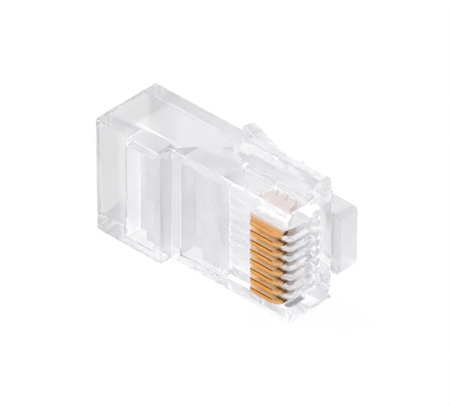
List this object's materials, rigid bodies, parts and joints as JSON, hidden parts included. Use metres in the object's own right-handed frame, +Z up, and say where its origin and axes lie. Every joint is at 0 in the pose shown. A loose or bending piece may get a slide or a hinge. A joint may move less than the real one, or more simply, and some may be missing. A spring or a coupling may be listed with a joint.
{
  "type": "modular plug",
  "caption": "Clear modular plug for network cable: stepped moulded body, spring latch, crimp bars and a comb of gold blade contacts, shown before crimping.",
  "frame": {"origin": "middle of the side face that the plug stands on: half way along the body, half way through the thickness of its nose", "axes": "+X along the plug towards the nose, +Y through its thickness towards the latch, +Z up across its width"},
  "size_m": [0.0232, 0.0139, 0.0117],
  "materials": {
    "clear_plastic": "clear polycarbonate, polished",
    "gold_contact": "gold over phosphor bronze, stamped"
  },
  "bodies": {
    "housing": {"housing": "clear_plastic"},
    "latch": {"latch": "clear_plastic"},
    "jacket_bar": {"jacket_bar": "clear_plastic"},
    "conductor_bar": {"conductor_bar": "clear_plastic"},
    "contact_1": {"contact_1": "gold_contact"},
    "contact_2": {"contact_2": "gold_contact"},
    "contact_3": {"contact_3": "gold_contact"},
    "contact_4": {"contact_4": "gold_contact"},
    "contact_5": {"contact_5": "gold_contact"},
    "contact_6": {"contact_6": "gold_contact"},
    "contact_7": {"contact_7": "gold_contact"},
    "contact_8": {"contact_8": "gold_contact"}
  },
  "joints": [
    {"name": "latch_flex", "type": "hinge", "parent": "housing", "child": "latch", "pos_m": [0.00873, 0.00345, 0.00584], "axis": [0, 0, 1], "range_deg": [0, 15], "stiffness_Nm_per_rad": 0.2},
    {"name": "jacket_bar_swing", "type": "hinge", "parent": "housing", "child": "jacket_bar", "pos_m": [-0.00733, -0.0024, 0.00584], "axis": [0, 0, 1], "range_deg": [0, 24]},
    {"name": "conductor_bar_swing", "type": "hinge", "parent": "housing", "child": "conductor_bar", "pos_m": [-0.00188, -0.00105, 0.00584], "axis": [0, 0, 1], "range_deg": [0, 10]},
    {"name": "contact_1_press", "type": "slide", "parent": "housing", "child": "contact_1", "axis": [0, 1, 0], "range_m": [0, 0.00143]},
    {"name": "contact_2_press", "type": "slide", "parent": "housing", "child": "contact_2", "axis": [0, 1, 0], "range_m": [0, 0.00143]},
    {"name": "contact_3_press", "type": "slide", "parent": "housing", "child": "contact_3", "axis": [0, 1, 0], "range_m": [0, 0.00143]},
    {"name": "contact_4_press", "type": "slide", "parent": "housing", "child": "contact_4", "axis": [0, 1, 0], "range_m": [0, 0.00143]},
    {"name": "contact_5_press", "type": "slide", "parent": "housing", "child": "contact_5", "axis": [0, 1, 0], "range_m": [0, 0.00143]},
    {"name": "contact_6_press", "type": "slide", "parent": "housing", "child": "contact_6", "axis": [0, 1, 0], "range_m": [0, 0.00143]},
    {"name": "contact_7_press", "type": "slide", "parent": "housing", "child": "contact_7", "axis": [0, 1, 0], "range_m": [0, 0.00143]},
    {"name": "contact_8_press", "type": "slide", "parent": "housing", "child": "contact_8", "axis": [0, 1, 0], "range_m": [0, 0.00143]}
  ],
  "couplings": [
    {"joint": "contact_2_press", "follows": "contact_1_press", "ratio": 1},
    {"joint": "contact_3_press", "follows": "contact_1_press", "ratio": 1},
    {"joint": "contact_4_press", "follows": "contact_1_press", "ratio": 1},
    {"joint": "contact_5_press", "follows": "contact_1_press", "ratio": 1},
    {"joint": "contact_6_press", "follows": "contact_1_press", "ratio": 1},
    {"joint": "contact_7_press", "follows": "contact_1_press", "ratio": 1},
    {"joint": "contact_8_press", "follows": "contact_1_press", "ratio": 1}
  ]
}
